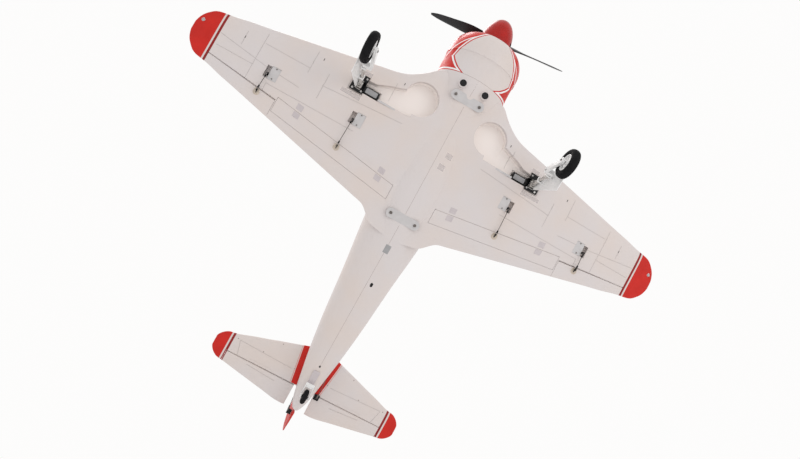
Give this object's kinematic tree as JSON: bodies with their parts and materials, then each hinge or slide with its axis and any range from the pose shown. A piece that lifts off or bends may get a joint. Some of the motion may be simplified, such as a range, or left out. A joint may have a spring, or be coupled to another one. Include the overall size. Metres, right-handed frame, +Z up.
{
  "type": "radio-controlled foam aeroplane",
  "caption": "Low-wing radio-controlled foam aeroplane with inward-folding main gear, steerable tail wheel, flaps, tractor propeller and lift-off canopy hatch.",
  "frame": {"origin": "on the ground plane under the main wheels, midway between spinner tip and rudder trailing edge, on the centre plane", "axes": "+X towards the aeroplane's left wing tip, -Y towards the nose, +Z up, fuselage level"},
  "size_m": [1.406, 1.2803, 0.4659],
  "materials": {
    "foam_white": "lightly beaded moulded foam, painted white",
    "cowl_paint": "satin painted moulded shell, white and red",
    "red_gloss": "gloss red moulded plastic",
    "foam_red": "foam painted red",
    "black_plastic": "black moulded plastic",
    "grey_plastic": "translucent pale grey moulded plastic",
    "white_plastic": "white moulded plastic",
    "clear_plastic": "clear vacuum-formed plastic",
    "rubber": "black foam rubber",
    "steel": "plain steel",
    "screw_steel": "dark zinc-plated steel",
    "leg_metal": "machined and painted aluminium",
    "motor_metal": "anodised aluminium",
    "carbon": "pultruded carbon tube",
    "plywood": "laser-cut birch plywood",
    "pack_wrap": "heat-shrink sleeve",
    "tub_grey": "grey-green moulded plastic"
  },
  "bodies": {
    "airframe": {"fuselage_left": "foam_white", "fuselage_right": "foam_white", "nose_cowl": "cowl_paint", "tailplane": "foam_white", "wing_left": "foam_white", "wing_right": "foam_white", "wing_spar": "carbon", "wing_bolt_plates": "grey_plastic", "screws": "screw_steel", "belly_port_plugs": "black_plastic", "motor_mount": "plywood", "motor_stator": "motor_metal", "speed_controller": "pack_wrap", "battery_tray": "plywood", "receiver": "black_plastic", "retract_units": "black_plastic", "gear_well_rails": "grey_plastic", "servo_hatches": "grey_plastic", "servos": "black_plastic", "hinge_plates": "grey_plastic", "tail_bracket": "grey_plastic"},
    "canopy_hatch": {"canopy_hatch": "foam_white", "canopy_glass": "clear_plastic", "cockpit_tub": "tub_grey"},
    "airscrew": {"propeller": "black_plastic", "spinner": "red_gloss", "spinner_backplate": "red_gloss", "propeller_nut": "steel", "motor_can": "motor_metal"},
    "elevators": {"elevator_left": "foam_white", "elevator_right": "foam_white", "elevator_joiner": "steel"},
    "rudder": {"rudder": "foam_red"},
    "tail_steering": {"tailwheel_strut": "white_plastic"},
    "tail_wheel": {"tail_wheel": "rubber"},
    "aileron_left": {"aileron_left": "foam_white", "aileron_horn_left": "black_plastic"},
    "aileron_servo_arm_left": {"aileron_servo_arm_left": "black_plastic"},
    "aileron_pushrod_left": {"aileron_pushrod_left": "steel"},
    "flap_left": {"flap_left": "foam_white", "flap_horn_left": "black_plastic"},
    "flap_servo_arm_left": {"flap_servo_arm_left": "black_plastic"},
    "flap_pushrod_left": {"flap_pushrod_left": "steel"},
    "gear_left": {"gear_leg_left": "leg_metal", "gear_door_left": "white_plastic"},
    "wheel_left": {"wheel_hub_left": "white_plastic", "tyre_left": "rubber"},
    "aileron_right": {"aileron_right": "foam_white", "aileron_horn_right": "black_plastic"},
    "aileron_servo_arm_right": {"aileron_servo_arm_right": "black_plastic"},
    "aileron_pushrod_right": {"aileron_pushrod_right": "steel"},
    "flap_right": {"flap_right": "foam_white", "flap_horn_right": "black_plastic"},
    "flap_servo_arm_right": {"flap_servo_arm_right": "black_plastic"},
    "flap_pushrod_right": {"flap_pushrod_right": "steel"},
    "gear_right": {"gear_leg_right": "leg_metal", "gear_door_right": "white_plastic"},
    "wheel_right": {"wheel_hub_right": "white_plastic", "tyre_right": "rubber"}
  },
  "joints": [
    {"name": "propeller_spin", "type": "hinge", "parent": "airframe", "child": "airscrew", "pos_m": [0, -0.5735, 0.263], "axis": [0, -1, 0], "continuous": true},
    {"name": "hatch_lift", "type": "slide", "parent": "airframe", "child": "canopy_hatch", "axis": [0, 0, 1], "range_m": [0, 0.06]},
    {"name": "elevator_hinge", "type": "hinge", "parent": "airframe", "child": "elevators", "pos_m": [0, 0.522, 0.33], "axis": [1, 0, 0], "range_deg": [-22, 22]},
    {"name": "rudder_hinge", "type": "hinge", "parent": "airframe", "child": "rudder", "pos_m": [0, 0.576, 0.38], "axis": [0, 0, 1], "range_deg": [-25, 25]},
    {"name": "tail_steer", "type": "hinge", "parent": "airframe", "child": "tail_steering", "pos_m": [0, 0.492, 0.25], "axis": [0, 0, 1], "range_deg": [-25, 25]},
    {"name": "tail_wheel_spin", "type": "hinge", "parent": "tail_steering", "child": "tail_wheel", "pos_m": [0, 0.518, 0.232], "axis": [1, 0, 0], "continuous": true},
    {"name": "aileron_left_hinge", "type": "hinge", "parent": "airframe", "child": "aileron_left", "pos_m": [0.433, -0.116, 0.21826], "axis": [0.993, -0.115, 0.0276], "range_deg": [-20, 20]},
    {"name": "flap_left_hinge", "type": "hinge", "parent": "airframe", "child": "flap_left", "pos_m": [0.064, -0.069, 0.19599], "axis": [-0.988, 0.1497, -0.0392], "range_deg": [0, 45]},
    {"name": "aileron_servo_left", "type": "hinge", "parent": "airframe", "child": "aileron_servo_arm_left", "pos_m": [0.4805, -0.165, 0.2188], "axis": [1, 0, 0], "range_deg": [-22, 22]},
    {"name": "aileron_rod_left", "type": "hinge", "parent": "aileron_servo_arm_left", "child": "aileron_pushrod_left", "pos_m": [0.4825, -0.165, 0.2021], "axis": [1, 0, 0], "range_deg": [-22, 22]},
    {"name": "flap_servo_left", "type": "hinge", "parent": "airframe", "child": "flap_servo_arm_left", "pos_m": [0.2355, -0.1677, 0.20594], "axis": [-1, 0, 0], "range_deg": [0, 33]},
    {"name": "flap_rod_left", "type": "hinge", "parent": "flap_servo_arm_left", "child": "flap_pushrod_left", "pos_m": [0.2375, -0.1677, 0.18923], "axis": [-1, 0, 0], "range_deg": [-28, 0]},
    {"name": "gear_left_retract", "type": "hinge", "parent": "airframe", "child": "gear_left", "pos_m": [0.264, -0.255, 0.198], "axis": [0, 1, 0], "range_deg": [0, 94.5]},
    {"name": "wheel_left_spin", "type": "hinge", "parent": "gear_left", "child": "wheel_left", "pos_m": [0.276, -0.303, 0.04], "axis": [0.9973, 0.0108, 0.0725], "continuous": true},
    {"name": "aileron_right_hinge", "type": "hinge", "parent": "airframe", "child": "aileron_right", "pos_m": [-0.433, -0.116, 0.21826], "axis": [0.993, 0.115, -0.0276], "range_deg": [-20, 20]},
    {"name": "flap_right_hinge", "type": "hinge", "parent": "airframe", "child": "flap_right", "pos_m": [-0.064, -0.069, 0.19599], "axis": [-0.988, -0.1497, 0.0392], "range_deg": [0, 45]},
    {"name": "aileron_servo_right", "type": "hinge", "parent": "airframe", "child": "aileron_servo_arm_right", "pos_m": [-0.4805, -0.165, 0.2188], "axis": [1, 0, 0], "range_deg": [-22, 22]},
    {"name": "aileron_rod_right", "type": "hinge", "parent": "aileron_servo_arm_right", "child": "aileron_pushrod_right", "pos_m": [-0.4825, -0.165, 0.2021], "axis": [1, 0, 0], "range_deg": [-22, 22]},
    {"name": "flap_servo_right", "type": "hinge", "parent": "airframe", "child": "flap_servo_arm_right", "pos_m": [-0.2355, -0.1677, 0.20594], "axis": [-1, 0, 0], "range_deg": [0, 33]},
    {"name": "flap_rod_right", "type": "hinge", "parent": "flap_servo_arm_right", "child": "flap_pushrod_right", "pos_m": [-0.2375, -0.1677, 0.18923], "axis": [-1, 0, 0], "range_deg": [-28, 0]},
    {"name": "gear_right_retract", "type": "hinge", "parent": "airframe", "child": "gear_right", "pos_m": [-0.264, -0.255, 0.198], "axis": [0, -1, 0], "range_deg": [0, 94.5]},
    {"name": "wheel_right_spin", "type": "hinge", "parent": "gear_right", "child": "wheel_right", "pos_m": [-0.276, -0.303, 0.04], "axis": [0.9973, -0.0108, -0.0725], "continuous": true}
  ],
  "couplings": [
    {"joint": "tail_steer", "follows": "rudder_hinge", "ratio": 1},
    {"joint": "aileron_servo_left", "follows": "aileron_left_hinge", "ratio": 1.05},
    {"joint": "aileron_rod_left", "follows": "aileron_left_hinge", "ratio": -1.05},
    {"joint": "flap_servo_left", "follows": "flap_left_hinge", "ratio": 0.707},
    {"joint": "flap_rod_left", "follows": "flap_left_hinge", "ratio": -0.598},
    {"joint": "aileron_servo_right", "follows": "aileron_left_hinge", "ratio": -1.05},
    {"joint": "aileron_rod_right", "follows": "aileron_left_hinge", "ratio": 1.05},
    {"joint": "flap_servo_right", "follows": "flap_left_hinge", "ratio": 0.707},
    {"joint": "flap_rod_right", "follows": "flap_left_hinge", "ratio": -0.598},
    {"joint": "aileron_right_hinge", "follows": "aileron_left_hinge", "ratio": -1},
    {"joint": "flap_right_hinge", "follows": "flap_left_hinge", "ratio": 1},
    {"joint": "gear_right_retract", "follows": "gear_left_retract", "ratio": 1}
  ]
}
